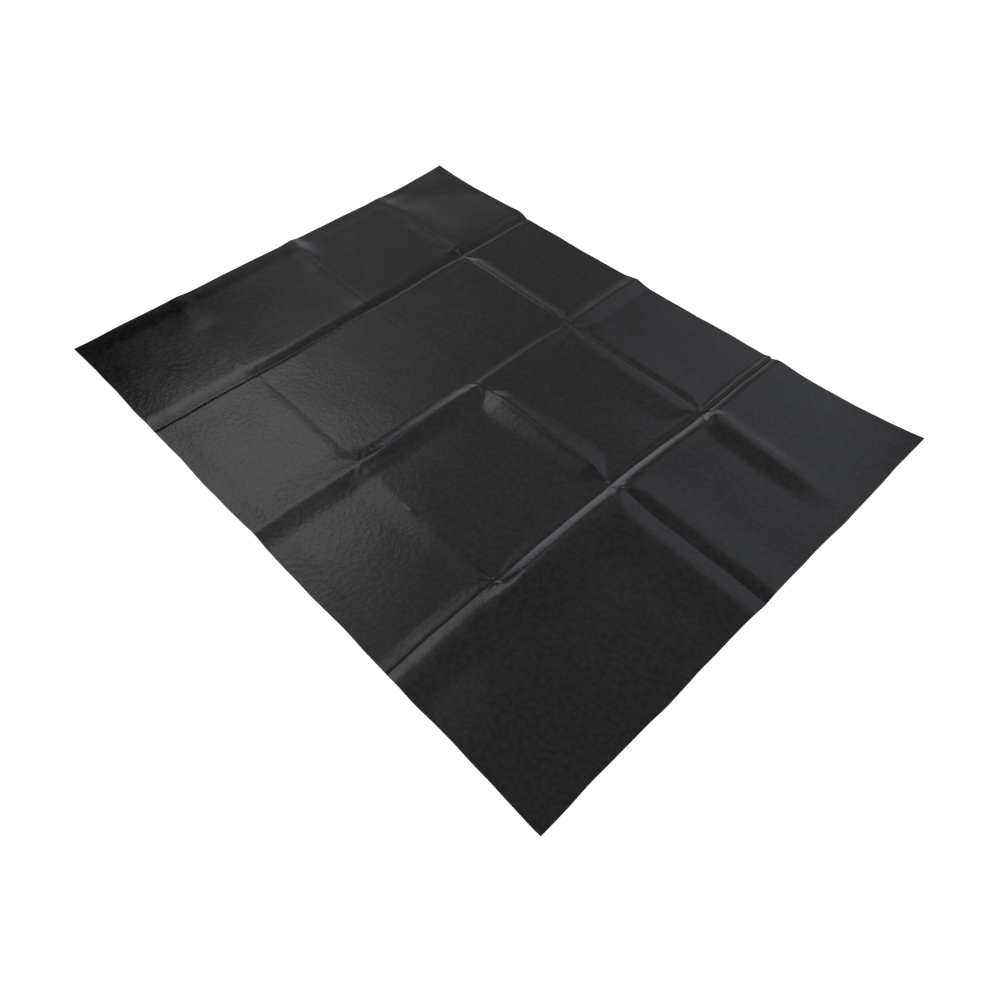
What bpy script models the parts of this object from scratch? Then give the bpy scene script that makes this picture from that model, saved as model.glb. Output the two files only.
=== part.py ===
"""Seedling heat mat: a thin vinyl sheet with a film heater welded inside, creased by its packing folds.

The mat lies on the plane z = 0, long side along X, and is modelled as the four strips between its three
cross creases. Every ply of a strip follows the same relief, so the plies nest as the bonded sheet does.
Units are metres.
"""

from collections import namedtuple
from math import hypot

import bmesh
import bpy

for item in list(bpy.data.objects):
    bpy.data.objects.remove(item, do_unlink=True)

# Sheet
LENGTH = 1.200  # along X
WIDTH = 0.900  # along Y
CROSS_SHARES = (0.2375, 0.4925, 0.7541667)  # of the length, from the -X end to each cross crease
LENGTHWISE_SHARES = (0.2322222, 0.52, 0.7822222)  # of the width, from the -Y side to each lengthwise crease

# Plies, from the bench up: vinyl skin, film, printed element, film, vinyl skin
SKIN = 0.0005
FILM = 0.00012
ELEMENT = 0.00012
PLY_GAP = 0.0001
WELD = 0.015  # margin where the two skins are welded together
WELD_SLOPE = 0.030  # run over which the top skin climbs from the weld onto the heater

# Heater, printed between the films
BUS_WIDTH = 0.014
BUS_MARGIN = 0.005  # from the film's edge to the bus bar
CARBONS = 4  # carbon strips between two creases
CARBON_SPACING = 0.012
CREASE_MARGIN = 0.020  # from a crease to the nearest carbon strip
FILM_MARGIN = 0.008  # from the film's end to the nearest carbon strip
BUTT_GAP = 0.0003  # where a carbon strip or a feed tab meets its bus bar
TAB_LENGTH = 0.022

# Packing creases. A flank runs from the crease to its foot on the bench. A valley's flank rises to a
# shoulder at its turn, and a ridge's flank falls from the crest and eases at its turn.
Flank = namedtuple("Flank", "height turn foot")
CrossCrease = namedtuple("CrossCrease", "ridge left right")
CROSS_CREASES = (
    CrossCrease(False, Flank(0.008, 0.026, 0.070), Flank(0.004, 0.009, 0.032)),
    CrossCrease(True, Flank(0.005, 0.008, 0.024), Flank(0.005, 0.010, 0.034)),
    CrossCrease(False, Flank(0.006, 0.007, 0.036), Flank(0.007, 0.018, 0.048)),
)
LENGTHWISE_TURN = 0.010
LENGTHWISE_FOOT = 0.034
# Height of each lengthwise crease on each strip: above zero for a ridge, below for a valley's shoulders
LENGTHWISE_HEIGHTS = (
    (-0.002, 0.002, 0.002, 0.002),
    (0.005, -0.002, 0.005, -0.005),
    (-0.005, 0.006, -0.005, 0.006),
)
# Corners at the +Y side that curl up off the bench
CURL_LEFT = 0.011
CURL_RIGHT = 0.015
CURL_REACH = 0.150

# Folding
FOLD_GAP = 0.0004  # between two strips' plies at a crease
FOLD_CLEARANCE = 0.0003  # from a fold's axis to the faces that close on it

# Worked out from the sizes above
WHOLE = 1.0  # the share of a height where nothing fades it
HALF_LENGTH = LENGTH / 2
HALF_WIDTH = WIDTH / 2
STRIPS = len(CROSS_SHARES) + 1
CREASE_X = [share * LENGTH - HALF_LENGTH for share in CROSS_SHARES]
CREASE_Y = [share * WIDTH - HALF_WIDTH for share in LENGTHWISE_SHARES]
FILM_INSET = WELD + WELD_SLOPE

UNDER_FILM_Z = SKIN + PLY_GAP
ELEMENT_Z = UNDER_FILM_Z + FILM + PLY_GAP
TOP_FILM_Z = ELEMENT_Z + ELEMENT + PLY_GAP
TOP_SKIN_Z = TOP_FILM_Z + FILM + PLY_GAP
WELDED_SKIN_Z = SKIN + PLY_GAP
MAT_THICKNESS = TOP_SKIN_Z + SKIN

BUS_OUTER = HALF_WIDTH - FILM_INSET - BUS_MARGIN
BUS_INNER = BUS_OUTER - BUS_WIDTH
CARBON_END = BUS_INNER - BUTT_GAP


def strip_span(strip):
    """Where a strip's plies start and end along X: the mat's end, or just short of a crease."""
    start = -HALF_LENGTH if strip == 0 else CREASE_X[strip - 1] + FOLD_GAP / 2
    end = HALF_LENGTH if strip == STRIPS - 1 else CREASE_X[strip] - FOLD_GAP / 2
    return start, end


def film_span(strip):
    """The heater film stops at the weld's slope at the mat's two ends."""
    start, end = strip_span(strip)
    if strip == 0:
        start += FILM_INSET
    if strip == STRIPS - 1:
        end -= FILM_INSET
    return start, end


def carbon_spans(strip):
    """The carbon strips share out a strip's width, clear of its creases and of the film's ends."""
    start, end = film_span(strip)
    start += FILM_MARGIN if strip == 0 else CREASE_MARGIN
    end -= FILM_MARGIN if strip == STRIPS - 1 else CREASE_MARGIN
    width = (end - start - (CARBONS - 1) * CARBON_SPACING) / CARBONS
    pitch = width + CARBON_SPACING
    return [(start + i * pitch, start + i * pitch + width) for i in range(CARBONS)]


def feed_tab_span():
    """The feed tabs end where the last carbon strip does, on the strip that stays down."""
    end = film_span(STRIPS - 1)[1] - FILM_MARGIN
    return end - TAB_LENGTH, end


def bus_span(strip):
    """A bus bar runs the strip's length, and butts on its feed tab."""
    start, end = film_span(strip)
    if strip == 0:
        start += FILM_MARGIN
    if strip == STRIPS - 1:
        end = feed_tab_span()[0] - BUTT_GAP
    return start, end


def flank_height(ridge, flank, away):
    """Height of a crease's flank at a distance from the crease."""
    if away >= flank.foot:
        return 0.0
    if ridge:
        return flank.height * ((flank.foot - away) / flank.foot) ** 2
    if away < flank.turn:
        return flank.height * away / flank.turn
    return flank.height * (flank.foot - away) / (flank.foot - flank.turn)


def cross_height(x):
    """Height of the cross creases at x."""
    height = 0.0
    for crease_x, crease in zip(CREASE_X, CROSS_CREASES):
        flank = crease.left if x < crease_x else crease.right
        height += flank_height(crease.ridge, flank, abs(x - crease_x))
    return height


def crossing_fade(x):
    """Share of a lengthwise crease's height at x: it dies out where it reaches a cross crease."""
    shares = [WHOLE]
    for crease_x, crease in zip(CREASE_X, CROSS_CREASES):
        flank = crease.left if x < crease_x else crease.right
        shares.append(abs(x - crease_x) / flank.foot)
    return min(shares)


def lengthwise_height(x, y):
    """Height of the lengthwise creases, whose sense changes from strip to strip."""
    strip = sum(x > crease_x for crease_x in CREASE_X)
    height = 0.0
    for crease_y, heights in zip(CREASE_Y, LENGTHWISE_HEIGHTS):
        flank = Flank(abs(heights[strip]), LENGTHWISE_TURN, LENGTHWISE_FOOT)
        height += flank_height(heights[strip] > 0, flank, abs(y - crease_y))
    return height * crossing_fade(x)


def curl_height(x, y):
    """Height of the two curled corners."""
    height = 0.0
    for side, curl in ((-1, CURL_LEFT), (1, CURL_RIGHT)):
        from_corner = (HALF_LENGTH - side * x) + (HALF_WIDTH - y)
        height += curl * max(0.0, WHOLE - from_corner / CURL_REACH) ** 2
    return height


def relief(x, y):
    """Height of the mat's underside over the bench."""
    return hypot(cross_height(x), lengthwise_height(x, y)) + curl_height(x, y)


def top_skin_base(x, y):
    """The top skin lies on the heater, and on the under skin along the weld."""
    from_edge = min(HALF_LENGTH - abs(x), HALF_WIDTH - abs(y))
    welded = from_edge < WELD + WELD_SLOPE / 2
    return relief(x, y) + (WELDED_SKIN_Z if welded else TOP_SKIN_Z)


def sheet_lines_x():
    """Every x at which some ply bends or ends, so that all plies share their facets."""
    lines = {side * (HALF_LENGTH - inset) for side in (-1, 1) for inset in (WELD, FILM_INSET)}
    for crease_x, crease in zip(CREASE_X, CROSS_CREASES):
        lines |= {crease_x - crease.left.turn, crease_x - crease.left.foot}
        lines |= {crease_x + crease.right.turn, crease_x + crease.right.foot}
    for strip in range(STRIPS):
        lines |= set(strip_span(strip))
        for span in carbon_spans(strip):
            lines |= set(span)
    return sorted(lines | set(feed_tab_span()) | {bus_span(STRIPS - 1)[1]})


def sheet_lines_y():
    """Every y at which some ply bends or ends."""
    insets = (0.0, WELD, FILM_INSET, CURL_REACH / 2)
    lines = {side * (HALF_WIDTH - inset) for side in (-1, 1) for inset in insets}
    lines |= {side * edge for side in (-1, 1) for edge in (BUS_OUTER, BUS_INNER, CARBON_END)}
    for crease_y in CREASE_Y:
        lines.add(crease_y)
        for away in (LENGTHWISE_TURN, LENGTHWISE_FOOT):
            lines |= {crease_y - away, crease_y + away}
    return sorted(lines)


LINES_X = sheet_lines_x()
LINES_Y = sheet_lines_y()


def lines_between(lines, start, end):
    """The span's two ends and the sheet's lines inside it, leaving out repeats from rounding."""
    same = PLY_GAP / 10
    inside = [line for line in lines if start + same < line < end - same]
    kept = [start]
    for line in inside:
        if line - kept[-1] > same:
            kept.append(line)
    return kept + [end]


def material(name, colour, roughness, metallic=0.0):
    made = bpy.data.materials.new(name)
    made.use_nodes = True
    shader = made.node_tree.nodes["Principled BSDF"]
    shader.inputs["Base Color"].default_value = (*colour, 1.0)
    shader.inputs["Roughness"].default_value = roughness
    shader.inputs["Metallic"].default_value = metallic
    return made


VINYL = material("black vinyl", (0.012, 0.012, 0.013), 0.42)
POLYESTER = material("clear polyester film", (0.62, 0.66, 0.66), 0.15)
CARBON = material("printed carbon", (0.02, 0.02, 0.022), 0.75)
COPPER = material("copper foil", (0.72, 0.36, 0.22), 0.30, metallic=1.0)
TINNED = material("tinned copper", (0.62, 0.61, 0.58), 0.35, metallic=1.0)


def ply(name, span_x, span_y, base, thickness, finish, fold):
    """One ply: the sheet's facets over a rectangle, at the base height, pulled up to the thickness."""
    origin = fold.matrix_world.translation
    shape = bmesh.new()
    columns = lines_between(LINES_X, *span_x)
    rows = lines_between(LINES_Y, *span_y)
    grid = []
    for x in columns:
        points = [(x, y, base(x, y)) for y in rows]
        grid.append([shape.verts.new((x - origin.x, y - origin.y, z - origin.z)) for x, y, z in points])
    for left, right in zip(grid, grid[1:]):
        for j in range(len(rows) - 1):
            shape.faces.new((left[j], right[j], right[j + 1]))
            shape.faces.new((left[j], right[j + 1], left[j + 1]))
    pulled = bmesh.ops.extrude_face_region(shape, geom=shape.faces[:], use_keep_orig=True)
    raised = [part for part in pulled["geom"] if isinstance(part, bmesh.types.BMVert)]
    bmesh.ops.translate(shape, vec=(0.0, 0.0, thickness), verts=raised)
    bmesh.ops.recalc_face_normals(shape, faces=shape.faces[:])
    mesh = bpy.data.meshes.new(name)
    shape.to_mesh(mesh)
    shape.free()
    mesh.materials.append(finish)
    piece = bpy.data.objects.new(name, mesh)
    piece.parent = fold
    bpy.context.scene.collection.objects.link(piece)


def fold_axis(name, place, parent):
    """An empty on a fold's axis, which carries the strips beyond that fold."""
    axis = bpy.data.objects.new(name, None)
    axis.parent = parent
    axis.location = [a - b for a, b in zip(place, parent.matrix_world.translation)] if parent else place
    bpy.context.scene.collection.objects.link(axis)
    bpy.context.view_layer.update()
    return axis


# The last strip stays on the bench. The others fan-fold onto it: at a valley crease the top faces close
# on each other, with the axis over the shoulders, and at a ridge the undersides do, with it under them.
TALLEST_FLANK = max(max(crease.left.height, crease.right.height) for crease in CROSS_CREASES)
TALLEST_LENGTHWISE = max(abs(height) for heights in LENGTHWISE_HEIGHTS for height in heights)
OVER_AXIS_Z = hypot(TALLEST_FLANK, TALLEST_LENGTHWISE) + MAT_THICKNESS + FOLD_CLEARANCE
UNDER_AXIS_Z = -FOLD_CLEARANCE

carrier = fold_axis("bench", (0.0, 0.0, 0.0), None)
carriers = [carrier]
for i in reversed(range(STRIPS - 1)):
    axis_z = UNDER_AXIS_Z if CROSS_CREASES[i].ridge else OVER_AXIS_Z
    carrier = fold_axis(f"fold_{i + 1}", (CREASE_X[i], 0.0, axis_z), carrier)
    carriers.insert(0, carrier)


def raised_by(offset):
    """The relief, lifted to where a ply lies in the stack."""
    return lambda x, y: relief(x, y) + offset


FULL_WIDTH = (-HALF_WIDTH, HALF_WIDTH)
FILM_WIDTH = (-HALF_WIDTH + FILM_INSET, HALF_WIDTH - FILM_INSET)
BUS_SIDES = {"front": (-BUS_OUTER, -BUS_INNER), "back": (BUS_INNER, BUS_OUTER)}

for strip, fold in enumerate(carriers):
    number = strip + 1

    # Vinyl skins
    ply(f"under_skin_{number}", strip_span(strip), FULL_WIDTH, relief, SKIN, VINYL, fold)
    ply(f"top_skin_{number}", strip_span(strip), FULL_WIDTH, top_skin_base, SKIN, VINYL, fold)

    # Heater film: the carrier under the print and the cover over it
    heater = film_span(strip)
    ply(f"carrier_film_{number}", heater, FILM_WIDTH, raised_by(UNDER_FILM_Z), FILM, POLYESTER, fold)
    ply(f"cover_film_{number}", heater, FILM_WIDTH, raised_by(TOP_FILM_Z), FILM, POLYESTER, fold)

    # Carbon strips, from bus bar to bus bar
    print_base = raised_by(ELEMENT_Z)
    for i, span in enumerate(carbon_spans(strip)):
        ends = (-CARBON_END, CARBON_END)
        ply(f"carbon_{number}_{i + 1}", span, ends, print_base, ELEMENT, CARBON, fold)

    # Bus bars, and on the strip that stays down the tabs that feed them
    for side, span_y in BUS_SIDES.items():
        ply(f"bus_bar_{side}_{number}", bus_span(strip), span_y, print_base, ELEMENT, COPPER, fold)
        if strip == STRIPS - 1:
            ply(f"feed_tab_{side}", feed_tab_span(), span_y, print_base, ELEMENT, TINNED, fold)
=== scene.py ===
"""The looks of the seedling heat mat: a thin black vinyl sheet, creased by its packing, on a white floor."""

from math import cos, pi, radians, sin

import bpy
import numpy as np
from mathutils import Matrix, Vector


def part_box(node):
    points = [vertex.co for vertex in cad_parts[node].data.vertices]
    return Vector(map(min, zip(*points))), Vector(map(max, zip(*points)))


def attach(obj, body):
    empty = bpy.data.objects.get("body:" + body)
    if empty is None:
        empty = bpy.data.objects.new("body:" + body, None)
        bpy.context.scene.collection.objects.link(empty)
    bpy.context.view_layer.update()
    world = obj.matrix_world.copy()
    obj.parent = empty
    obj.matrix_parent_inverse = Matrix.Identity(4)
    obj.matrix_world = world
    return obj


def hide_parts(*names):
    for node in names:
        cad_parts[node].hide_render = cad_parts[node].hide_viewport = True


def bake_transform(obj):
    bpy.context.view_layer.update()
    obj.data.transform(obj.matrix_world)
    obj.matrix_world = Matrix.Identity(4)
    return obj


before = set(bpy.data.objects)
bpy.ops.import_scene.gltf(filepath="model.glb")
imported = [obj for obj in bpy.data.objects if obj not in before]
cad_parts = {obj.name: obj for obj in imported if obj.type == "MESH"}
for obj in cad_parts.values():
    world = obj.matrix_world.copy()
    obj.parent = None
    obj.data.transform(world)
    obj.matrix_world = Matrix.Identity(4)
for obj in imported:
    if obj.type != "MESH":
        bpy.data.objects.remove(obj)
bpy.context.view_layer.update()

scene = bpy.context.scene
scene.view_settings.view_transform = "Standard"

# Camera
# A person standing at the mat's near right corner, looking down across it. The lens, the place and the point
# looked at were fitted to the sheet's four corners.

IMAGE_SIDE = 1001  # pixels
FOCAL_PIXELS = 811.6
SENSOR = 36.0  # millimetres
CAMERA_PLACE = (0.7766, -0.6854, 0.9888)  # metres
LOOKED_AT = (0.2035, -0.1337, 0.0)


def face(thing, place, target):
    """Puts a camera or a lamp into the scene at a place, facing a target."""
    thing.location = place
    thing.rotation_euler = (Vector(target) - Vector(place)).to_track_quat("-Z", "Y").to_euler()
    scene.collection.objects.link(thing)


camera_data = bpy.data.cameras.new("camera")
camera_data.sensor_width = SENSOR
camera_data.lens = SENSOR * FOCAL_PIXELS / IMAGE_SIDE
camera = bpy.data.objects.new("camera", camera_data)
face(camera, CAMERA_PLACE, LOOKED_AT)
scene.camera = camera


# Floor
# A seamless studio floor, painted matt white, that the mat lies on. It runs on far beyond the picture, so
# that the mat stands before plain white.

FLOOR_HALF = 9.0  # metres
FLOOR_DROP = 0.0005  # metres that the floor lies below the mat
FLOOR_GLOW = 0.6  # lifts the paint to plain white where it is looked at


def srgb(code):
    """A colour written as the eye reads it, in the renderer's linear values."""
    parts = [int(code[i : i + 2], 16) / 255 for i in (1, 3, 5)]
    return [c / 12.92 if c <= 0.04045 else ((c + 0.055) / 1.055) ** 2.4 for c in parts] + [1.0]


def fill(node, *ordered, **named):
    """Fills a shader node's inputs, in order and by name: a value is set, and a node's output is linked.

    A name that no input has is one of the node's own settings.
    """
    filled = list(zip(node.inputs, ordered))
    for name, value in named.items():
        socket = node.inputs.get(name.replace("_", " "))
        if socket is None:
            setattr(node, name, value)
        else:
            filled.append((socket, value))
    for socket, value in filled:
        if isinstance(value, bpy.types.NodeSocket):
            node.id_data.links.new(value, socket)
        else:
            socket.default_value = value
    return node


def add(tree, kind, *ordered, **named):
    """One new shader node, filled."""
    return fill(tree.nodes.new(kind), *ordered, **named)


def remapped(tree, share, low, high, **settings):
    """A share from 0 to 1, or from other ends that are given, moved to the range from low to high."""
    return add(tree, "ShaderNodeMapRange", share, To_Min=low, To_Max=high, **settings).outputs["Result"]


floor_mesh = bpy.data.meshes.new("floor")
floor_corners = [(x * FLOOR_HALF, y * FLOOR_HALF, 0.0) for x, y in ((-1, -1), (1, -1), (1, 1), (-1, 1))]
floor_mesh.from_pydata(floor_corners, [], [(0, 1, 2, 3)])
floor = bpy.data.objects.new("floor", floor_mesh)
floor.location.z = -FLOOR_DROP
scene.collection.objects.link(floor)

# Matt white paint, which the camera sees as plain white away from the mat's shadow
white = bpy.data.materials.new("white floor paint")
white.use_nodes = True
tree = white.node_tree
tree.nodes.clear()
rays = add(tree, "ShaderNodeLightPath").outputs
seen = rays["Is Camera Ray"]
for ray in ("Is Glossy Ray", "Is Transmission Ray"):
    seen = add(tree, "ShaderNodeMath", seen, rays[ray], operation="MAXIMUM").outputs[0]
matt = add(tree, "ShaderNodeBsdfDiffuse", Color=srgb("#f0f0f0"))
glow = add(tree, "ShaderNodeEmission", Color=srgb("#ffffff"), Strength=remapped(tree, seen, 0.0, FLOOR_GLOW))
both = add(tree, "ShaderNodeAddShader", matt.outputs[0], glow.outputs[0])
add(tree, "ShaderNodeOutputMaterial", Surface=both.outputs[0])
floor_mesh.materials.append(white)


# Studio light
# A white room that is brightest low down, with a window on the mat's far side. At its left end are a low
# window, a pale wall, a dark doorway and two softboxes, and a soft lamp hangs behind the camera.

# The room's light, by height on a sphere round the mat
ROOM_LIGHT = ((0.0, 0.75), (0.26, 0.66), (0.38, 0.33), (0.52, 0.27), (0.62, 0.36), (0.80, 0.42), (0.95, 0.27))
# Soft round patches of the room, in degrees: the way round from +X, the height, and how far from there the
# patch is full and where it ends
DOORWAY = (176, 22, 14.5, 24)
DOORWAY_LIGHT = 0.03  # share of the room's light that is left in the doorway
LIGHT_PATCHES = (
    ((103, 36, 6, 21), "#e6ecff", 0.37),  # window
    ((155, 42.5, 4, 12.5), "#ffffff", 0.28),  # pale wall
    ((162, 48.5, 5, 11), "#ffffff", 1.04),  # softbox
    ((153, 63.5, 3, 7.5), "#ffffff", 0.24),  # upper softbox
    ((151, 13, 8, 16.5), "#eef2ff", 0.85),  # low window
)
LAMP_HEADING = (-42, 56)  # degrees round from +X, and up
LAMP_AWAY, LAMP_SIDE = 6.0, 3.2  # metres
LAMP_RADIANCE = 4.6


def direction(azimuth, elevation):
    """A unit vector, from degrees round from +X and degrees up from the floor."""
    flat = cos(radians(elevation))
    return Vector((flat * cos(radians(azimuth)), flat * sin(radians(azimuth)), sin(radians(elevation))))


world = bpy.data.worlds.new("white room")
scene.world = world
world.use_nodes = True
tree = world.node_tree
tree.nodes.clear()
towards = add(tree, "ShaderNodeTexCoord").outputs["Generated"]


def patch(place, before, after):
    """A soft round patch of the room: the value after within it, and before beyond it."""
    azimuth, elevation, inner, outer = place
    middle = direction(azimuth, elevation)
    facing = add(tree, "ShaderNodeVectorMath", towards, middle, operation="DOT_PRODUCT")
    ends = {"From_Min": cos(radians(outer)), "From_Max": cos(radians(inner))}
    return remapped(tree, facing.outputs["Value"], before, after, interpolation_type="SMOOTHSTEP", **ends)


height = add(tree, "ShaderNodeSeparateXYZ", towards).outputs["Z"]
room = add(tree, "ShaderNodeValToRGB", height)
stops = room.color_ramp.elements
stops[0].position = ROOM_LIGHT[0][0]
stops[1].position = ROOM_LIGHT[-1][0]
for place, value in ROOM_LIGHT[1:-1]:
    stops.new(place)
for stop, (place, value) in zip(stops, ROOM_LIGHT):
    stop.color = (value, value, value, 1.0)
walls = add(tree, "ShaderNodeBackground", room.outputs["Color"], patch(DOORWAY, 1.0, DOORWAY_LIGHT))
for place, colour, value in LIGHT_PATCHES:
    lit = add(tree, "ShaderNodeBackground", srgb(colour), patch(place, 0.0, value))
    walls = add(tree, "ShaderNodeAddShader", walls.outputs[0], lit.outputs[0])
# Behind the floor's edge the camera, and what is seen through the clear film, get plain white
plain = add(tree, "ShaderNodeBackground", srgb("#ffffff"))
rays = add(tree, "ShaderNodeLightPath").outputs
seen = add(tree, "ShaderNodeMath", rays["Is Camera Ray"], rays["Is Transmission Ray"], operation="MAXIMUM")
shown = add(tree, "ShaderNodeMixShader", seen.outputs[0], walls.outputs[0], plain.outputs[0])
add(tree, "ShaderNodeOutputWorld", Surface=shown.outputs[0])

lamp_data = bpy.data.lights.new("lamp behind the camera", "AREA")
lamp_data.shape = "RECTANGLE"
lamp_data.size = LAMP_SIDE
lamp_data.size_y = LAMP_SIDE
lamp_data.energy = LAMP_RADIANCE * pi * LAMP_SIDE * LAMP_SIDE
lamp = bpy.data.objects.new("lamp behind the camera", lamp_data)
face(lamp, direction(*LAMP_HEADING) * LAMP_AWAY, (0.0, 0.0, 0.0))


# Top skin
# Black satin vinyl, half a millimetre thick, that the seed trays stand on. It runs on over the cross creases,
# and is welded to the under skin round its edge. Three pieces meet in the middle of the inner strips.

MM = 0.001
HALF_LENGTH, HALF_WIDTH = 600.0, 450.0  # the sheet and its relief are in millimetres
CROSS_CREASES = (-315.0, -9.0, 305.0)
LENGTHWISE_CREASES = (-241.0, 18.0, 254.0)
ENDS_U = (-HALF_LENGTH, *CROSS_CREASES, HALF_LENGTH)
ENDS_V = (-HALF_WIDTH, *LENGTHWISE_CREASES, HALF_WIDTH)
FOLD_ROUND, CREST_ROUND = 1.1, 5.0  # how far a crease's bottom and a ridge's crest are rounded
SHOULDER_ROUND = 0.18  # how far a shoulder is rounded down, for each millimetre of its height
RISE_POWER = 1.6  # 1 for a straight rise from a crease to its shoulder, more for one that rounds over
FALL_POWER = 1.5  # 1 for a straight fall from a shoulder to its foot, more for one that flattens out
ROW_CHANGE = 45.0  # how far from a lengthwise crease a cross crease takes the next row's form

# Cross valleys, for each row of panels from the near side: height in the crease, then for the left and the
# right flank the height of the shoulder, its distance from the crease and the distance of its foot
FIRST_VALLEY = (
    (0.0, 3.0, 32, 300, 0.5, 7, 40),
    (0.0, 4.6, 24, 240, 0.8, 9, 60),
    (0.0, 7.0, 22, 250, 1.0, 11, 50),
    (0.0, 10.0, 28, 250, 0.8, 8, 40),
)
LAST_VALLEY = (
    (0.3, 1.4, 1.8, 26, 2.6, 26, 80),
    (0.3, 1.6, 1.8, 20, 9.6, 28, 110),
    (0.3, 2.6, 1.8, 13, 8.8, 26, 100),
    (0.3, 4.2, 2.4, 15, 6.6, 21, 100),
)
# The cross ridge between them: height, and the distances of its left and right feet
MIDDLE_RIDGE = ((3.2, 70, 38), (5.0, 25, 36), (3.8, 24, 34), (5.2, 31, 28))
# How much of the ridge's size is left where a lengthwise crease crosses it, and how far that reaches
PINCHED, PINCH_REACH = 0.85, 50.0
# Lengthwise creases, near to far, for each strip: as the valleys, with the near and the far flank, and then
# the reach within which the crease closes up at a cross crease
LENGTHWISE = (
    (
        (0.1, 0.3, 10, 40, 0.3, 12, 50, 40),
        (0.0, 0.5, 18, 60, 0.05, 10, 40, 40),
        (1.8, 1.8, 1, 40, 1.8, 1, 80, 30),
        (0.1, 0.4, 8, 40, 0.4, 8, 40, 40),
    ),
    (
        (0.5, 0.9, 12, 50, 0.7, 8, 40, 40),
        (0.1, 0.15, 10, 40, 0.2, 10, 40, 40),
        (5.9, 6.0, 1, 42, 7.6, 6, 40, 60),
        (0.0, 4.5, 36, 110, 3.7, 26, 95, 60),
    ),
    (
        (0.0, 1.2, 26, 90, 1.1, 24, 90, 50),
        (4.6, 3.0, 20, 200, 4.7, 2, 28, 45),
        (0.0, 3.8, 27, 75, 2.6, 15, 70, 40),
        (6.4, 6.4, 1, 38, 6.4, 1, 27, 34),
    ),
)
LEAST_PINCH = 0.02  # share of a lengthwise crease left at a cross crease
DIES_OUT = (440.0, 590.0)  # where the far lengthwise crease fades away towards the right edge
# How far each crease wanders sideways, at the sheet's two edges and at the crossings
CROSS_WANDER = ((9, 10, 6, -2, -4), (0, 3, 2, 0, -3), (8, 1, -3, 2, 1))
LENGTHWISE_WANDER = ((0, -3, -4, -4, 0), (8, 2, -2, -3, -10), (2, 2, -1, -3, -16))
LEFT_EDGE_WANDER = (2, -2, -5, -6, -5)
SHAKES = ((37.0, 0.8), (17.0, 0.35), (9.0, 0.12))  # small unevenness of creases and edges: run, size
END_PHASE, SIDE_PHASE = 1.0, 2.0  # where the ends and the long sides are in that unevenness
EDGE_BAND = 60.0  # how far in from an edge its unevenness reaches
CURLS = ((-1, 11.0, 170.0), (1, 15.0, 190.0))  # far corners: side, height, reach
# Long soft billows: wavelength, heading in radians, phase
BILLOWS = ((97, 0.3, 0.5), (61, 1.7, 2.1), (143, 2.6, 1.0), (71, 0.9, 4.0), (113, 2.2, 5.2))
BILLOW_SHARE = 0.45 / 1200  # height for each millimetre of wavelength
# Puckers where creases meet: place, then for each ray its heading in degrees, its length and its height. Rays
# that start beyond the left edge lift it where the lengthwise creases end
PUCKERS = (
    ((305, -241), ((188, 34, -1.1), (212, 30, 0.8), (340, 16, 0.5), (10, 18, 0.5), (305, 14, 0.45))),
    ((305, 254), ((165, 34, 0.8), (200, 30, -0.8), (340, 24, 0.7), (30, 24, 0.6), (300, 20, -0.5))),
    ((305, 18), ((160, 26, 0.6), (205, 28, -0.6), (345, 20, 0.6), (290, 18, 0.5))),
    ((-9, 18), ((320, 34, 0.8), (25, 28, 0.6), (200, 24, -0.5))),
    ((-9, 254), ((150, 26, 0.7), (335, 28, -0.7), (215, 24, 0.5))),
    ((-9, -241), ((310, 36, 0.45), (140, 30, 0.3), (30, 26, -0.3))),
    ((-315, -241), ((215, 32, 0.25), (150, 28, -0.2), (335, 28, 0.2))),
    ((-315, 254), ((200, 34, 0.7), (160, 28, -0.7))),
    ((120, -238), ((235, 16, 0.9), (300, 18, 0.8), (90, 9, -0.5))),
    ((-720, -238), ((0, 240, 1.7),)),
    ((-720, 26), ((-2, 240, 2.7),)),
    ((-720, 256), ((0, 240, 2.0),)),
    ((-400, -262), ((10, 60, 0.25), (345, 46, -0.2))),
)
RAY_WIDTH, RAY_SPREAD = 1.4, 0.12  # a ray's half width at its start, and how fast it widens


def ease(t):
    """A smooth step from 0 to 1."""
    t = np.clip(t, 0.0, 1.0)
    return t * t * (3.0 - 2.0 * t)


def eased_run(at, knots, values):
    """A value that eases from knot to knot."""
    made = np.full(np.shape(at), float(values[0]))
    for start, end, before, after in zip(knots, knots[1:], values, values[1:]):
        made = made + (after - before) * ease((at - start) / (end - start))
    return made


def from_nearest(at, creases):
    """How far a place is from the nearest of some creases."""
    return np.min([np.abs(at - crease) for crease in creases], axis=0)


def flank(away, low, shoulder, turn, foot):
    """Out from a crease: up from its own height to a shoulder at the turn, then down to the foot."""
    rise = low + (shoulder - low) * (1.0 - np.clip(1.0 - away / turn, 0.0, 1.0) ** RISE_POWER)
    fall = shoulder * np.clip((foot - away) / (foot - turn), 0.0, None) ** FALL_POWER
    round_off = SHOULDER_ROUND * shoulder
    return -round_off * np.logaddexp(-rise / round_off, -fall / round_off)


def rounded(distance, radius=FOLD_ROUND):
    """A distance from a crease without the sharp turn at the crease itself."""
    return np.sqrt(distance**2 + radius**2) - radius


def by_row(v, table, column):
    """One column of a table of panel rows, eased from row to row where a lengthwise crease lies."""
    knots = [crease + side for crease in LENGTHWISE_CREASES for side in (-ROW_CHANGE, ROW_CHANGE)]
    values = [row[column] for row in table]
    return eased_run(v, knots, [value for pair in zip(values, values[1:]) for value in pair])


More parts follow.
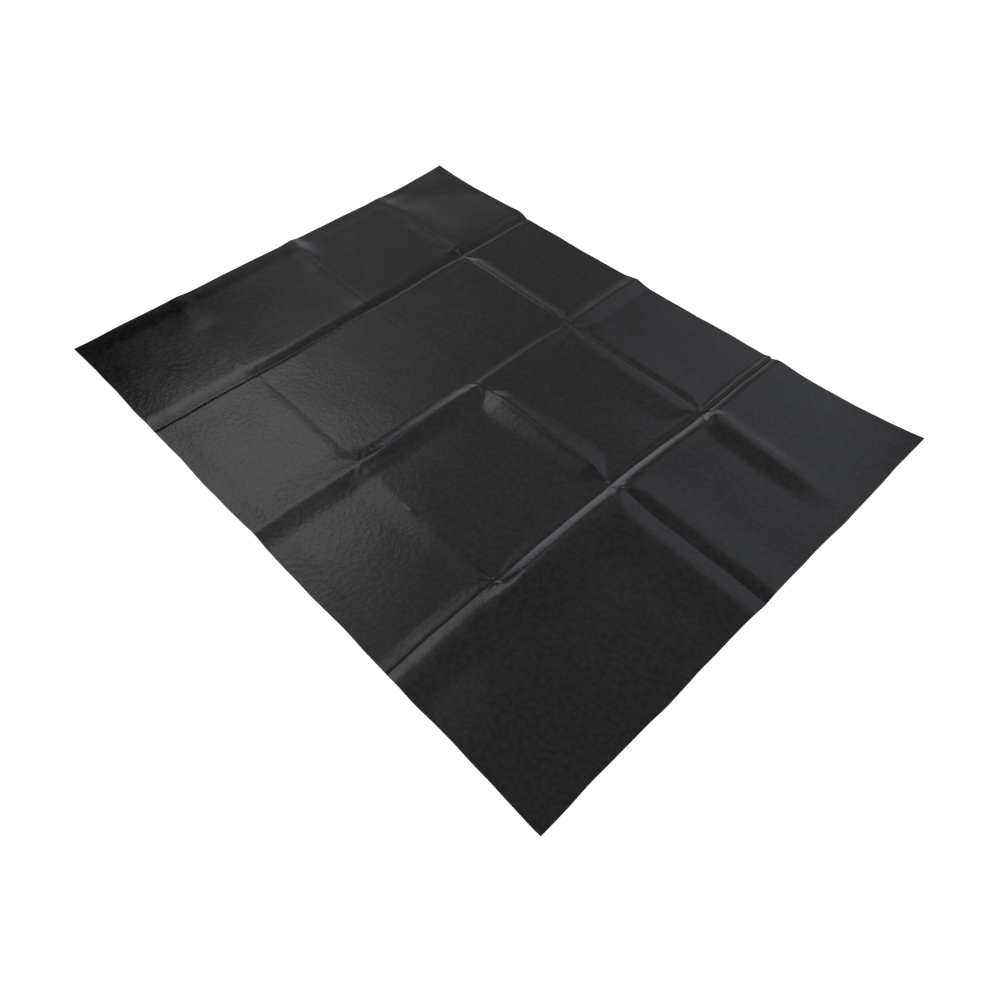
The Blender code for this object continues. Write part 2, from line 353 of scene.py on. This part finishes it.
def cross_relief(u, v):
    """Height of the two cross valleys and the ridge between them."""
    height = 0.0
    for crease, table in ((CROSS_CREASES[0], FIRST_VALLEY), (CROSS_CREASES[2], LAST_VALLEY)):
        away = rounded(u - crease)
        low, *sides = [by_row(v, table, column) for column in range(len(table[0]))]
        left = flank(away, low, *sides[:3])
        right = flank(away, low, *sides[3:])
        height = height + np.where(u < crease, left, right)
    pinch = PINCHED + (1.0 - PINCHED) * ease(from_nearest(v, LENGTHWISE_CREASES) / PINCH_REACH)
    away = rounded(u - CROSS_CREASES[1], CREST_ROUND) / pinch
    top, left_foot, right_foot = [by_row(v, MIDDLE_RIDGE, column) for column in range(len(MIDDLE_RIDGE[0]))]
    foot = np.where(u < CROSS_CREASES[1], left_foot, right_foot)
    return height + pinch * top * np.clip(1.0 - away / foot, 0.0, 1.0) ** FALL_POWER


def lengthwise_relief(u, v):
    """Height of the lengthwise creases, which change from strip to strip."""
    height = 0.0
    strip = np.digitize(u, CROSS_CREASES)
    from_cross = from_nearest(u, CROSS_CREASES)
    dying = 1.0 - ease((u - DIES_OUT[0]) / (DIES_OUT[1] - DIES_OUT[0]))
    for crease, strips in zip(LENGTHWISE_CREASES, LENGTHWISE):
        lasting = dying if crease == LENGTHWISE_CREASES[-1] else 1.0
        for number, (low, *sides, closing) in enumerate(strips):
            pinch = np.maximum(LEAST_PINCH, ease(from_cross / closing))
            away = rounded(v - crease, CREST_ROUND if low == sides[0] else FOLD_ROUND) / pinch
            near = flank(away, low, *sides[:3])
            far = flank(away, low, *sides[3:])
            here = np.where(v < crease, near, far) * pinch * lasting
            height = height + np.where(strip == number, here, 0.0)
    return height


def relief(u, v):
    """Height of the mat's underside over the bench, in millimetres."""
    height = cross_relief(u, v) + lengthwise_relief(u, v)
    for side, curl, reach in CURLS:
        from_corner = (HALF_LENGTH - side * u) + (HALF_WIDTH - v)
        height = height + curl * np.clip(1.0 - from_corner / reach, 0.0, 1.0) ** 2
    for (place_u, place_v), rays in PUCKERS:
        for heading, length, tall in rays:
            turn = radians(heading)
            along = (u - place_u) * cos(turn) + (v - place_v) * sin(turn)
            aside = (v - place_v) * cos(turn) - (u - place_u) * sin(turn)
            out = np.clip(along / length, 0.0, 1.0)
            width = RAY_WIDTH + RAY_SPREAD * length * out
            arch = 4.0 * out * (1.0 - out)  # 1 half-way out, and 0 at both ends
            height = height + tall * arch * np.exp(-((aside / width) ** 2))
    for length, heading, phase in BILLOWS:
        along = u * cos(heading) + v * sin(heading)
        height = height + BILLOW_SHARE * length * (1.0 + np.sin(along * 2 * pi / length + phase))
    return height


def share_of(at, ends, number):
    """1 on a crease, falling to 0 on the creases or edges beside it."""
    return np.interp(at, ends, [float(i == number + 1) for i in range(len(ends))])


def shake(at, phase):
    """The small unevenness of a crease or an edge, along its run."""
    return sum(high * np.sin(at / run + phase) for run, high in SHAKES)


def laid(u, v):
    """Where a point of the flat sheet lies on the bench: the creases wander a little."""
    x = u + np.interp(u, (ENDS_U[0], ENDS_U[1]), (1.0, 0.0)) * eased_run(v, ENDS_V, LEFT_EDGE_WANDER)
    y = v
    for number, (across, along) in enumerate(zip(CROSS_WANDER, LENGTHWISE_WANDER)):
        x = x + share_of(u, ENDS_U, number) * (shake(v, number) + eased_run(v, ENDS_V, across))
        y = y + share_of(v, ENDS_V, number) * (shake(u, number) + eased_run(u, ENDS_U, along))
    x = x + ease((np.abs(u) - HALF_LENGTH + EDGE_BAND) / EDGE_BAND) * shake(v, END_PHASE)
    y = y + ease((np.abs(v) - HALF_WIDTH + EDGE_BAND) / EDGE_BAND) * shake(u, SIDE_PHASE)
    return x, y


FINE_REACH = 70.0  # how far from a crease the lines are at their widest spacing
TRIAL_STEPS = 400  # steps between two stops in which the spacing is added up
LEAST_STEP = 0.2  # no line lies nearer than this to an end
SHARP_TURN = radians(50)  # faces that turn more than this meet in a sharp edge


def sheet_lines(stops, creases, fine, coarse):
    """Lines across the sheet through every stop, close together at the creases and wider apart elsewhere."""
    lines = [stops[0]]
    for start, end in zip(stops, stops[1:]):
        steps = np.linspace(start, end, TRIAL_STEPS)
        spacing = fine + (coarse - fine) * ease(from_nearest(steps, creases) / FINE_REACH)
        passed = np.concatenate(([0.0], np.cumsum(np.diff(steps) * 2 / (spacing[1:] + spacing[:-1]))))
        count = max(1, round(passed[-1]))
        lines += list(np.interp(np.linspace(0.0, passed[-1], count + 1)[1:], passed, steps))
    return np.array(lines)


CUTS = ((CROSS_CREASES[0] + CROSS_CREASES[1]) / 2, (CROSS_CREASES[1] + CROSS_CREASES[2]) / 2)
STOPS_U = sorted((*ENDS_U, *CUTS))
FINE_U = sheet_lines(STOPS_U, CROSS_CREASES, fine=0.9, coarse=8.0)
FINE_V = sheet_lines(ENDS_V, LENGTHWISE_CREASES, fine=1.2, coarse=8.0)


def between(lines, start, end):
    """The lines from a start to an end, with one on each of them."""
    inside = [line for line in lines if start + LEAST_STEP < line < end - LEAST_STEP]
    return np.array([start, *inside, end])


def slab(name, lines_u, lines_v, base, thickness, finish):
    """One ply over a rectangle of the sheet: base is its height over the relief, all in millimetres."""
    u, v = np.meshgrid(lines_u, lines_v, indexing="ij")
    x, y = laid(u, v)
    lower = relief(u, v) + base(u, v)
    sides = [np.stack([x, y, z], axis=-1).reshape(-1, 3) for z in (lower, lower + thickness)]
    points = np.concatenate(sides) * MM
    columns, rows = u.shape
    number = np.arange(columns * rows).reshape(columns, rows)
    a, b, c, d = number[:-1, :-1], number[1:, :-1], number[1:, 1:], number[:-1, 1:]
    top = np.stack([a, b, c, d], axis=-1).reshape(-1, 4) + columns * rows
    bottom = np.stack([a, d, c, b], axis=-1).reshape(-1, 4)
    rim = np.concatenate([number[:, 0], number[-1, 1:], number[-2::-1, -1], number[0, -2:0:-1]])
    onward = np.roll(rim, -1)
    wall = np.stack([rim, onward, onward + columns * rows, rim + columns * rows], axis=-1)
    mesh = bpy.data.meshes.new(name)
    mesh.from_pydata(points.tolist(), [], np.concatenate([top, bottom, wall]).tolist())
    mesh.shade_smooth()
    mesh.set_sharp_from_angle(angle=SHARP_TURN)
    mesh.materials.append(finish)
    piece = bpy.data.objects.new(name, mesh)
    scene.collection.objects.link(piece)
    return piece


SKIN, FILM, ELEMENT, PLY_GAP = 0.50, 0.12, 0.12, 0.10  # thickness of each ply, and the gap between two
WELD, WELD_SLOPE = 15.0, 30.0  # width of the weld, and of the slope up from it
# Height of each ply over the relief
UNDER_FILM = SKIN + PLY_GAP
PRINT = UNDER_FILM + FILM + PLY_GAP
TOP_FILM = PRINT + ELEMENT + PLY_GAP
TOP_SKIN = TOP_FILM + FILM + PLY_GAP
WELDED_SKIN = SKIN + PLY_GAP


def top_skin_base(u, v):
    """The top skin comes down on the under skin at the weld."""
    from_edge = np.minimum(HALF_LENGTH - np.abs(u), HALF_WIDTH - np.abs(v))
    return WELDED_SKIN + (TOP_SKIN - WELDED_SKIN) * ease((from_edge - WELD) / WELD_SLOPE)


def principled(name):
    """A new material, with its node tree, its shader and the place that its patterns go by."""
    made = bpy.data.materials.new(name)
    made.use_nodes = True
    tree = made.node_tree
    return made, tree, tree.nodes["Principled BSDF"], add(tree, "ShaderNodeTexCoord").outputs["Object"]


def noise(tree, place, size, **settings):
    """A soft random pattern with blots of about a size, in metres."""
    return add(tree, "ShaderNodeTexNoise", Vector=place, Scale=1 / size, **settings).outputs["Fac"]


def product(tree, first, second):
    """Two patterns multiplied."""
    return add(tree, "ShaderNodeMath", first, second, operation="MULTIPLY").outputs[0]


def shades(tree, share, colours, ends=(0.0, 1.0)):
    """A colour that goes from the first to the second while a share goes from one end to the other."""
    ramp = add(tree, "ShaderNodeValToRGB", share)
    for stop, place, colour in zip(ramp.color_ramp.elements, ends, colours):
        stop.position = place
        stop.color = srgb(colour)
    return ramp.outputs["Color"]


PATCH_SIZE, MOTTLE_SIZE, VEIN_SPACING, GRAIN_CELL = 60 * MM, 8 * MM, 12 * MM, 2.2 * MM
MOTTLE_HEIGHT, WRINKLE_HEIGHT, GRAIN_HEIGHT = 0.16 * MM, 0.08 * MM, 0.05 * MM
VEIN_WIDTH = 0.10  # how far from its middle value the vein pattern still makes a wrinkle
BREAKS = (0.42, 0.58)  # a wrinkle breaks off while the mottle goes from the second to the first
MOST_WRINKLED = (-0.16, -0.38, 0.0)  # where the wrinkles are most, in metres
WRINKLES_END = (0.18, 0.42)  # metres from there within which all wrinkles stay, and beyond which the least do
LEAST_WRINKLES = 0.15
SMOOTHER_END = (-0.45, -0.25)  # metres along the mat between which its smoother left end gets the full mottle
LEAST_MOTTLE = 0.45

# Near-black satin vinyl: a fine pressed leather grain, a soft mottle, and duller patches. Short wrinkles
# catch the light near the front edge of the second strip, and thin out from there
vinyl, tree, shader, place = principled("black satin vinyl")
patches = noise(tree, place, PATCH_SIZE, Detail=4.0)
mottle = noise(tree, place, MOTTLE_SIZE, Detail=4.0, Roughness=0.42)
along = add(tree, "ShaderNodeSeparateXYZ", place).outputs["X"]
smoother = remapped(tree, along, LEAST_MOTTLE, 1.0, From_Min=SMOOTHER_END[0], From_Max=SMOOTHER_END[1])
mottled = add(tree, "ShaderNodeBump", Distance=MOTTLE_HEIGHT, Height=product(tree, mottle, smoother))
veins = noise(tree, place, VEIN_SPACING, Detail=1.0, Distortion=0.8)
from_vein = add(tree, "ShaderNodeMath", veins, 0.5, operation="SUBTRACT").outputs[0]
beside_vein = add(tree, "ShaderNodeMath", from_vein, operation="ABSOLUTE").outputs[0]
strokes = remapped(tree, beside_vein, 1.0, 0.0, From_Max=VEIN_WIDTH, interpolation_type="SMOOTHSTEP")
broken = remapped(tree, mottle, 0.0, 1.0, From_Min=BREAKS[0], From_Max=BREAKS[1])
from_most = add(tree, "ShaderNodeVectorMath", place, MOST_WRINKLED, operation="DISTANCE").outputs["Value"]
thinning = remapped(tree, from_most, 1.0, LEAST_WRINKLES, From_Min=WRINKLES_END[0], From_Max=WRINKLES_END[1],
                    interpolation_type="SMOOTHSTEP")
wrinkles = product(tree, product(tree, strokes, broken), thinning)
wrinkled = add(tree, "ShaderNodeBump", Strength=0.8, Distance=WRINKLE_HEIGHT, Height=wrinkles,
               Normal=mottled.outputs["Normal"])
cells = add(tree, "ShaderNodeTexVoronoi", Vector=place, Scale=1 / GRAIN_CELL).outputs["Distance"]
grain = add(tree, "ShaderNodeBump", Strength=0.6, Distance=GRAIN_HEIGHT, Height=cells,
            Normal=wrinkled.outputs["Normal"])
fill(
    shader,
    Base_Color=shades(tree, mottle, ("#060607", "#1c1d20"), ends=(0.30, 0.75)),
    Roughness=remapped(tree, patches, 0.11, 0.19),
    Normal=grain.outputs["Normal"],
)

# The three pieces of a ply that runs over the folds: the fold's number, the piece's side, and where it ends
PIECES = (
    (1, "left", (ENDS_U[0], CUTS[0])),
    (2, "middle", CUTS),
    (3, "right", (CUTS[1], ENDS_U[-1])),
)


def across_fold(piece, number, node):
    """The piece lies across fold 1, 2 or 3, between the two strips there, and stands for their nodes, whose
    CAD parts it hides.
    """
    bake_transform(piece)
    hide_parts(f"{node}_{number}", f"{node}_{number + 1}")


for number, side, ends in PIECES:
    lines = between(FINE_U, *ends)
    piece = slab(f"top_skin_{side}", lines, FINE_V, top_skin_base, SKIN, vinyl)
    across_fold(piece, number, "top_skin")


# Under skin
# The same vinyl, half a millimetre thick, with its plain, duller back outward. It lies on the bench and
# carries the heater, and the top skin is welded to it round its edge.

COARSE_V = sheet_lines(ENDS_V, LENGTHWISE_CREASES, fine=2.5, coarse=12.0)
SCUFF_SIZE, THREAD_SPACING, THREAD_HEIGHT = 45 * MM, 4 * MM, 0.08 * MM


def raised(offset):
    """A ply's height over the relief, the same all over."""
    return lambda u, v: offset


# Duller black vinyl with the cloth-like pattern that the roll presses into its back, and scuffed patches
vinyl_back, tree, shader, place = principled("black vinyl back")
scuffs = noise(tree, place, SCUFF_SIZE, Detail=6.0)
across, lengthwise = [
    add(tree, "ShaderNodeTexWave", place, 1 / THREAD_SPACING, Distortion=0.4, bands_direction=heading)
    for heading in "XY"
]
cloth = product(tree, across.outputs["Fac"], lengthwise.outputs["Fac"])
pressed = add(tree, "ShaderNodeBump", Strength=0.6, Distance=THREAD_HEIGHT, Height=cloth)
fill(
    shader,
    Base_Color=shades(tree, scuffs, ("#151516", "#222224")),
    Roughness=remapped(tree, scuffs, 0.42, 0.62),
    Normal=pressed.outputs["Normal"],
)

for number, side, ends in PIECES:
    lines = between(FINE_U, *ends)
    piece = slab(f"under_skin_{side}", lines, COARSE_V, raised(0.0), SKIN, vinyl_back)
    across_fold(piece, number, "under_skin")


# Carrier film
# Clear polyester film, about an eighth of a millimetre thick, that the heater is printed on. It lies between
# the skins, inside the weld.

DRAWN_LENGTH, DRAWN_WIDTH, DRAWN_HEIGHT = 400 * MM, 3 * MM, 0.02 * MM


def streaks(tree, place, length, width, detail):
    """A soft random pattern drawn out along the mat."""
    stretched = add(tree, "ShaderNodeMapping", Vector=place, Scale=(1 / length, 1 / width, 1.0))
    return noise(tree, stretched.outputs["Vector"], 1.0, Detail=detail)


# Clear film with faint drawing lines along its length and a slight haze
polyester, tree, shader, place = principled("clear polyester film")
drawn = streaks(tree, place, DRAWN_LENGTH, DRAWN_WIDTH, 3.0)
drawing = add(tree, "ShaderNodeBump", Strength=0.2, Distance=DRAWN_HEIGHT, Height=drawn)
fill(
    shader,
    Base_Color=srgb("#dfe6e6"),
    Transmission_Weight=0.85,
    IOR=1.64,
    Roughness=remapped(tree, drawn, 0.06, 0.22),
    Normal=drawing.outputs["Normal"],
)


def span(nodes, axis):
    """Where some CAD nodes start and end along an axis, in millimetres."""
    boxes = [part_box(node) for node in nodes]
    return min(box[0][axis] for box in boxes) / MM, max(box[1][axis] for box in boxes) / MM


def ply_across_folds(node, base, thickness, finish):
    """A ply that runs on over all three folds, in the same three pieces as the skins."""
    nodes = [f"{node}_{number}" for number in (1, 2, 3, 4)]
    first, last = span(nodes, 0)
    lines_v = between(COARSE_V, *span(nodes, 1))
    for number, side, ends in PIECES:
        lines_u = between(FINE_U, max(first, ends[0]), min(last, ends[1]))
        piece = slab(f"{node}_{side}", lines_u, lines_v, raised(base), thickness, finish)
        across_fold(piece, number, node)


ply_across_folds("carrier_film", UNDER_FILM, FILM, polyester)


# Carbon strips
# Resistive carbon ink, screen printed on the carrier film from bus bar to bus bar. Four lie on each strip of
# the mat, clear of the cross creases, so that no print is folded.

LEAN_SIZE, SCREEN_PITCH, SCREEN_HEIGHT = 20 * MM, 0.5 * MM, 0.02 * MM

# Matt black ink with the weave of the printing screen and lean patches
ink, tree, shader, place = principled("printed carbon ink")
lean = noise(tree, place, LEAN_SIZE, Detail=4.0)
screen = add(tree, "ShaderNodeTexWave", Vector=place, Scale=1 / SCREEN_PITCH).outputs["Fac"]
weave = add(tree, "ShaderNodeBump", Strength=0.3, Distance=SCREEN_HEIGHT, Height=screen)
fill(
    shader,
    Base_Color=shades(tree, lean, ("#161617", "#2a2a2c")),
    Roughness=0.75,
    Normal=weave.outputs["Normal"],
)


def ply_on_strip(name, node, body, finish):
    """A ply at the height of the print that lies on one strip, and stands for one CAD node."""
    lines_u = between(FINE_U, *span([node], 0))
    lines_v = between(COARSE_V, *span([node], 1))
    piece = slab(name, lines_u, lines_v, raised(PRINT), ELEMENT, finish)
    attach(piece, body)
    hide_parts(node)


for strip in (1, 2, 3, 4):
    for number in (1, 2, 3, 4):
        label = f"{strip}_{number}"
        ply_on_strip(f"print_{label}", f"carbon_{label}", f"strip_{strip}", ink)


# Bus bars
# Rolled copper foil, bonded on the carrier film along both long sides. The two feed every carbon strip, and
# run on over the folds.

TARNISH_SIZE, ROLLED_LENGTH, ROLLED_WIDTH = 25 * MM, 60 * MM, 0.6 * MM

# Bright rolled copper with fine rolling lines and warm patches of tarnish
copper, tree, shader, place = principled("rolled copper foil")
tarnish = noise(tree, place, TARNISH_SIZE, Detail=4.0)
rolling = streaks(tree, place, ROLLED_LENGTH, ROLLED_WIDTH, 2.0)
fill(
    shader,
    Base_Color=shades(tree, tarnish, ("#d9966f", "#b87350")),
    Metallic=1.0,
    Roughness=remapped(tree, rolling, 0.22, 0.40),
)

for side in ("front", "back"):
    ply_across_folds(f"bus_bar_{side}", PRINT, ELEMENT, copper)


# Feed tabs
# The copper ends of the two bus bars, dipped in tin, where the current comes in. They are on the last strip,
# at the mat's right end.

DIP_SIZE = 4 * MM

# Dull grey tin, mottled where it was dipped
tin, tree, shader, place = principled("dipped tin")
dipped = noise(tree, place, DIP_SIZE, Detail=4.0)
fill(
    shader,
    Base_Color=shades(tree, dipped, ("#a9a8a4", "#cfcecb")),
    Metallic=1.0,
    Roughness=remapped(tree, dipped, 0.30, 0.48),
)

for side in ("front", "back"):
    ply_on_strip(f"tab_{side}", f"feed_tab_{side}", "strip_4", tin)


# Cover film
# A second film of the same clear polyester, laminated over the print and the foil. It keeps the top skin off
# the live copper.

ply_across_folds("cover_film", TOP_FILM, FILM, polyester)
